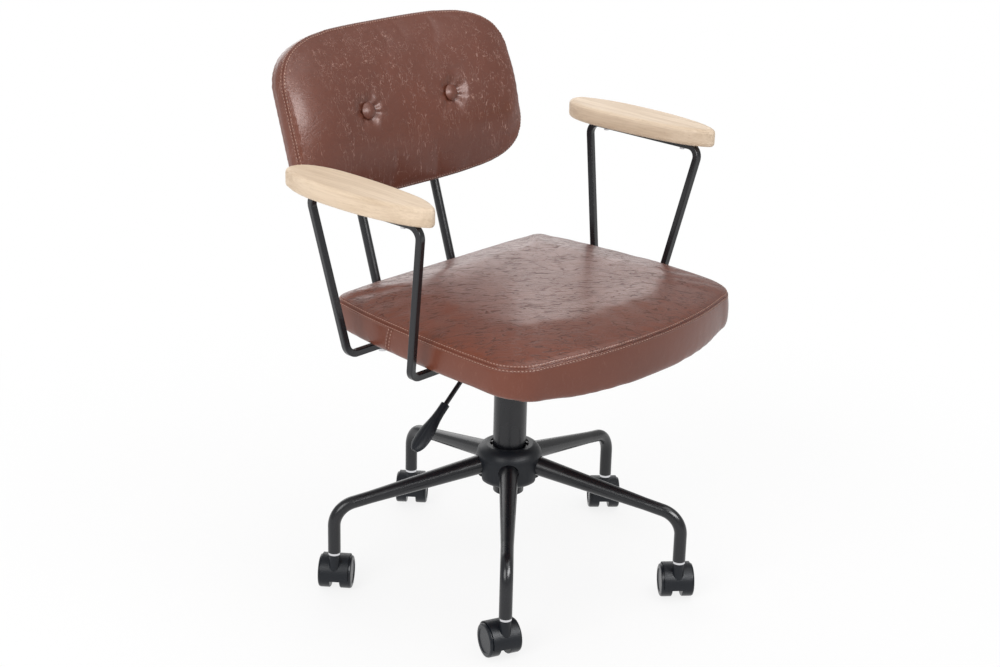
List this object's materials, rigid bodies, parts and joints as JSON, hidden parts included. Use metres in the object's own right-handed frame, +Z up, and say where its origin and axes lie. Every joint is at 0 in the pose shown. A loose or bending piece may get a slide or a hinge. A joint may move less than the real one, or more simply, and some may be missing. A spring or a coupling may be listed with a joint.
{
  "type": "desk chair",
  "caption": "Swivel desk chair on a castered tube base with a gas-lift column, padded seat, tufted back and wooden armrests on bent bar loops.",
  "frame": {"origin": "on the floor, under the axis of the gas column", "axes": "+Z up along the column, -Y the way the seat faces, +X towards the sitter's left"},
  "size_m": [0.6622, 0.5935, 0.814],
  "materials": {
    "black_enamel": "semi-gloss",
    "black_plastic": "fine matte texture",
    "wheel_plastic": "smooth satin",
    "bright_steel": "polished",
    "plain_steel": "plain",
    "leather": "glossy, creased",
    "pale_wood": "matte oiled",
    "plywood": "raw",
    "white_plastic": "plain"
  },
  "bodies": {
    "base": {"base_hub": "black_enamel", "leg_1": "black_enamel", "leg_2": "black_enamel", "leg_3": "black_enamel", "leg_4": "black_enamel", "leg_5": "black_enamel", "caster_sockets": "black_plastic", "hub_cover": "black_plastic", "column_tube": "black_enamel", "guide_bush": "white_plastic", "bearing_race": "plain_steel"},
    "rod": {"bearing_balls": "plain_steel", "piston_rod": "plain_steel", "retaining_clip": "plain_steel"},
    "seat": {"pressure_cylinder": "black_enamel", "taper_socket": "plain_steel", "seat_mechanism": "black_enamel", "lever_pivot_pin": "plain_steel", "seat_board": "plywood", "seat_cushion": "leather", "arm_bar_right": "black_enamel", "arm_bar_left": "black_enamel", "armrest_right": "pale_wood", "armrest_left": "pale_wood", "armrest_screws": "plain_steel", "frame_bolts": "plain_steel", "back_post_right": "black_enamel", "back_post_left": "black_enamel", "back_bracket": "black_enamel", "back_board": "plywood", "back_cushion": "leather", "tuft_buttons": "leather"},
    "lever": {"lever_rod": "black_enamel", "lever_handle": "black_plastic"},
    "valve": {"release_pin": "bright_steel"},
    "caster_1": {"caster_1_stem": "bright_steel", "caster_1_hood": "black_plastic", "caster_1_axle": "plain_steel"},
    "caster_1_wheel_right": {"caster_1_wheel_right": "wheel_plastic"},
    "caster_1_wheel_left": {"caster_1_wheel_left": "wheel_plastic"},
    "caster_2": {"caster_2_stem": "bright_steel", "caster_2_hood": "black_plastic", "caster_2_axle": "plain_steel"},
    "caster_2_wheel_right": {"caster_2_wheel_right": "wheel_plastic"},
    "caster_2_wheel_left": {"caster_2_wheel_left": "wheel_plastic"},
    "caster_3": {"caster_3_stem": "bright_steel", "caster_3_hood": "black_plastic", "caster_3_axle": "plain_steel"},
    "caster_3_wheel_right": {"caster_3_wheel_right": "wheel_plastic"},
    "caster_3_wheel_left": {"caster_3_wheel_left": "wheel_plastic"},
    "caster_4": {"caster_4_stem": "bright_steel", "caster_4_hood": "black_plastic", "caster_4_axle": "plain_steel"},
    "caster_4_wheel_right": {"caster_4_wheel_right": "wheel_plastic"},
    "caster_4_wheel_left": {"caster_4_wheel_left": "wheel_plastic"},
    "caster_5": {"caster_5_stem": "bright_steel", "caster_5_hood": "black_plastic", "caster_5_axle": "plain_steel"},
    "caster_5_wheel_right": {"caster_5_wheel_right": "wheel_plastic"},
    "caster_5_wheel_left": {"caster_5_wheel_left": "wheel_plastic"}
  },
  "joints": [
    {"name": "caster_1_swivel", "type": "hinge", "parent": "base", "child": "caster_1", "pos_m": [-0.1998, -0.18308, 0.0662], "axis": [0, 0, 1], "continuous": true},
    {"name": "caster_1_wheel_right_spin", "type": "hinge", "parent": "caster_1", "child": "caster_1_wheel_right", "pos_m": [-0.19343, -0.16732, 0.025], "axis": [0.9272, -0.3746, 0], "continuous": true},
    {"name": "caster_1_wheel_left_spin", "type": "hinge", "parent": "caster_1", "child": "caster_1_wheel_left", "pos_m": [-0.19343, -0.16732, 0.025], "axis": [0.9272, -0.3746, 0], "continuous": true},
    {"name": "caster_2_swivel", "type": "hinge", "parent": "base", "child": "caster_2", "pos_m": [0.11238, -0.2466, 0.0662], "axis": [0, 0, 1], "continuous": true},
    {"name": "caster_2_wheel_right_spin", "type": "hinge", "parent": "caster_2", "child": "caster_2_wheel_right", "pos_m": [0.12376, -0.23397, 0.025], "axis": [0.7431, -0.6691, 0], "continuous": true},
    {"name": "caster_2_wheel_left_spin", "type": "hinge", "parent": "caster_2", "child": "caster_2_wheel_left", "pos_m": [0.12376, -0.23397, 0.025], "axis": [0.7431, -0.6691, 0], "continuous": true},
    {"name": "caster_3_swivel", "type": "hinge", "parent": "base", "child": "caster_3", "pos_m": [0.26926, 0.03068, 0.0662], "axis": [0, 0, 1], "continuous": true},
    {"name": "caster_3_wheel_right_spin", "type": "hinge", "parent": "caster_3", "child": "caster_3_wheel_right", "pos_m": [0.28107, 0.04291, 0.025], "axis": [0.7193, -0.6947, 0], "continuous": true},
    {"name": "caster_3_wheel_left_spin", "type": "hinge", "parent": "caster_3", "child": "caster_3_wheel_left", "pos_m": [0.28107, 0.04291, 0.025], "axis": [0.7193, -0.6947, 0], "continuous": true},
    {"name": "caster_4_swivel", "type": "hinge", "parent": "base", "child": "caster_4", "pos_m": [0.05403, 0.26556, 0.0662], "axis": [0, 0, 1], "continuous": true},
    {"name": "caster_4_wheel_right_spin", "type": "hinge", "parent": "caster_4", "child": "caster_4_wheel_right", "pos_m": [0.06705, 0.27649, 0.025], "axis": [0.6428, -0.766, 0], "continuous": true},
    {"name": "caster_4_wheel_left_spin", "type": "hinge", "parent": "caster_4", "child": "caster_4_wheel_left", "pos_m": [0.06705, 0.27649, 0.025], "axis": [0.6428, -0.766, 0], "continuous": true},
    {"name": "caster_5_swivel", "type": "hinge", "parent": "base", "child": "caster_5", "pos_m": [-0.23587, 0.13345, 0.0662], "axis": [0, 0, 1], "continuous": true},
    {"name": "caster_5_wheel_right_spin", "type": "hinge", "parent": "caster_5", "child": "caster_5_wheel_right", "pos_m": [-0.22247, 0.14391, 0.025], "axis": [0.6157, -0.788, 0], "continuous": true},
    {"name": "caster_5_wheel_left_spin", "type": "hinge", "parent": "caster_5", "child": "caster_5_wheel_left", "pos_m": [-0.22247, 0.14391, 0.025], "axis": [0.6157, -0.788, 0], "continuous": true},
    {"name": "seat_swivel", "type": "hinge", "parent": "base", "child": "rod", "pos_m": [0, 0, 0.143], "axis": [0, 0, 1], "continuous": true},
    {"name": "seat_height", "type": "slide", "parent": "rod", "child": "seat", "axis": [0, 0, 1], "range_m": [0, 0.1]},
    {"name": "lever_rock", "type": "hinge", "parent": "seat", "child": "lever", "pos_m": [-0.036, 0, 0.391], "axis": [0, 1, 0], "range_deg": [0, 4.5], "stiffness_Nm_per_rad": 2},
    {"name": "valve_press", "type": "slide", "parent": "seat", "child": "valve", "axis": [0, 0, -1], "range_m": [0, 0.003]}
  ],
  "couplings": [
    {"joint": "valve_press", "follows": "lever_rock", "m_per_rad": 0.036}
  ]
}
